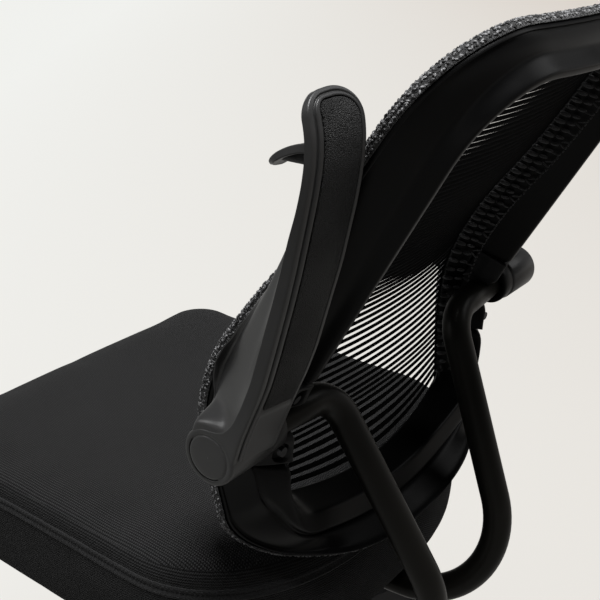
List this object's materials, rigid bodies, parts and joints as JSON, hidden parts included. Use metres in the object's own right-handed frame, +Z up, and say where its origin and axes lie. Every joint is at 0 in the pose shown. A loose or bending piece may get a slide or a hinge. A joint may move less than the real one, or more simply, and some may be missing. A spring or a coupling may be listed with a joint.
{
  "type": "conference chair",
  "caption": "Swivel conference chair with a ribbed mesh back in a moulded frame, flip-up arms, bent back tubes, a thick cloth seat and a castor base.",
  "frame": {"origin": "on the floor under the axis of the lift column", "axes": "+Z up, +X to the sitter's left, the sitter faces -Y"},
  "size_m": [0.7224, 0.7246, 0.9562],
  "materials": {
    "base_nylon": "fine satin grain",
    "castor_plastic": "satin",
    "wheel_tread": "matt",
    "black_steel": "satin powder coat",
    "bright_steel": "ground",
    "housing_paint": "matt powder coat",
    "frame_plastic": "satin",
    "arm_plastic": "satin",
    "pad_skin": "fine grain",
    "knit": "knitted",
    "mesh_yarn": "ribbed net",
    "seat_cloth": "woven",
    "pan_board": "moulded"
  },
  "bodies": {
    "base": {"star_base": "base_nylon", "lift_column": "black_steel"},
    "castor_1": {"castor_body_1": "castor_plastic", "castor_axle_1": "bright_steel"},
    "wheels_1": {"castor_wheels_1": "wheel_tread"},
    "castor_2": {"castor_body_2": "castor_plastic", "castor_axle_2": "bright_steel"},
    "wheels_2": {"castor_wheels_2": "wheel_tread"},
    "castor_3": {"castor_body_3": "castor_plastic", "castor_axle_3": "bright_steel"},
    "wheels_3": {"castor_wheels_3": "wheel_tread"},
    "castor_4": {"castor_body_4": "castor_plastic", "castor_axle_4": "bright_steel"},
    "wheels_4": {"castor_wheels_4": "wheel_tread"},
    "castor_5": {"castor_body_5": "castor_plastic", "castor_axle_5": "bright_steel"},
    "wheels_5": {"castor_wheels_5": "wheel_tread"},
    "lift": {"lift_piston": "bright_steel"},
    "seat": {"mechanism_housing": "housing_paint", "tilt_pin": "bright_steel", "lever_pin": "bright_steel", "seat_plate": "housing_paint", "pan_screws": "bright_steel", "seat_pan": "pan_board", "seat_cushion": "seat_cloth"},
    "back": {"back_yoke": "housing_paint", "back_tube_left": "black_steel", "back_tube_right": "black_steel", "back_frame": "frame_plastic", "knit_border": "knit", "mesh_panel": "mesh_yarn", "bracket_left": "frame_plastic", "bracket_right": "frame_plastic", "bracket_screws_left": "bright_steel", "bracket_screws_right": "bright_steel", "arm_pin_left": "bright_steel", "arm_pin_right": "bright_steel"},
    "arm_left": {"arm_left": "arm_plastic", "arm_pad_left": "pad_skin", "hub_cap_left": "arm_plastic"},
    "arm_right": {"arm_right": "arm_plastic", "arm_pad_right": "pad_skin", "hub_cap_right": "arm_plastic"},
    "lever": {"height_lever": "castor_plastic"},
    "knob": {"tension_knob": "castor_plastic"}
  },
  "joints": [
    {"name": "castor_swivel_1", "type": "hinge", "parent": "base", "child": "castor_1", "pos_m": [0, 0.32, 0.066], "axis": [0, 0, 1], "continuous": true},
    {"name": "wheel_spin_1", "type": "hinge", "parent": "castor_1", "child": "wheels_1", "pos_m": [0, 0.34, 0.03], "axis": [-1, 0, 0], "continuous": true},
    {"name": "castor_swivel_2", "type": "hinge", "parent": "base", "child": "castor_2", "pos_m": [-0.30434, 0.09889, 0.066], "axis": [0, 0, 1], "continuous": true},
    {"name": "wheel_spin_2", "type": "hinge", "parent": "castor_2", "child": "wheels_2", "pos_m": [-0.32336, 0.10507, 0.03], "axis": [-0.309, -0.9511, 0], "continuous": true},
    {"name": "castor_swivel_3", "type": "hinge", "parent": "base", "child": "castor_3", "pos_m": [-0.18809, -0.25888, 0.066], "axis": [0, 0, 1], "continuous": true},
    {"name": "wheel_spin_3", "type": "hinge", "parent": "castor_3", "child": "wheels_3", "pos_m": [-0.19985, -0.27507, 0.03], "axis": [0.809, -0.5878, 0], "continuous": true},
    {"name": "castor_swivel_4", "type": "hinge", "parent": "base", "child": "castor_4", "pos_m": [0.18809, -0.25888, 0.066], "axis": [0, 0, 1], "continuous": true},
    {"name": "wheel_spin_4", "type": "hinge", "parent": "castor_4", "child": "wheels_4", "pos_m": [0.19985, -0.27507, 0.03], "axis": [0.809, 0.5878, 0], "continuous": true},
    {"name": "castor_swivel_5", "type": "hinge", "parent": "base", "child": "castor_5", "pos_m": [0.30434, 0.09889, 0.066], "axis": [0, 0, 1], "continuous": true},
    {"name": "wheel_spin_5", "type": "hinge", "parent": "castor_5", "child": "wheels_5", "pos_m": [0.32336, 0.10507, 0.03], "axis": [-0.309, 0.9511, 0], "continuous": true},
    {"name": "seat_lift", "type": "slide", "parent": "base", "child": "lift", "axis": [0, 0, 1], "range_m": [0, 0.1]},
    {"name": "seat_swivel", "type": "hinge", "parent": "lift", "child": "seat", "pos_m": [0, 0, 0.2727], "axis": [0, 0, 1], "continuous": true},
    {"name": "back_recline", "type": "hinge", "parent": "seat", "child": "back", "pos_m": [0, 0.064, 0.309], "axis": [-1, 0, 0], "range_deg": [0, 12], "stiffness_Nm_per_rad": 160, "springref_deg": -17.19},
    {"name": "arm_left_fold", "type": "hinge", "parent": "back", "child": "arm_left", "pos_m": [0.24, 0.22, 0.622], "axis": [1, 0, 0], "range_deg": [0, 90]},
    {"name": "arm_right_fold", "type": "hinge", "parent": "back", "child": "arm_right", "pos_m": [-0.24, 0.22, 0.622], "axis": [-1, 0, 0], "range_deg": [0, 90]},
    {"name": "height_lever_lift", "type": "hinge", "parent": "seat", "child": "lever", "pos_m": [-0.086, -0.032, 0.3067], "axis": [0, 1, 0], "range_deg": [0, 6], "stiffness_Nm_per_rad": 1.2, "springref_deg": -8.59},
    {"name": "tension_knob_turn", "type": "hinge", "parent": "seat", "child": "knob", "pos_m": [0, -0.092, 0.2997], "axis": [0, 1, 0], "range_deg": [0, 720]}
  ]
}
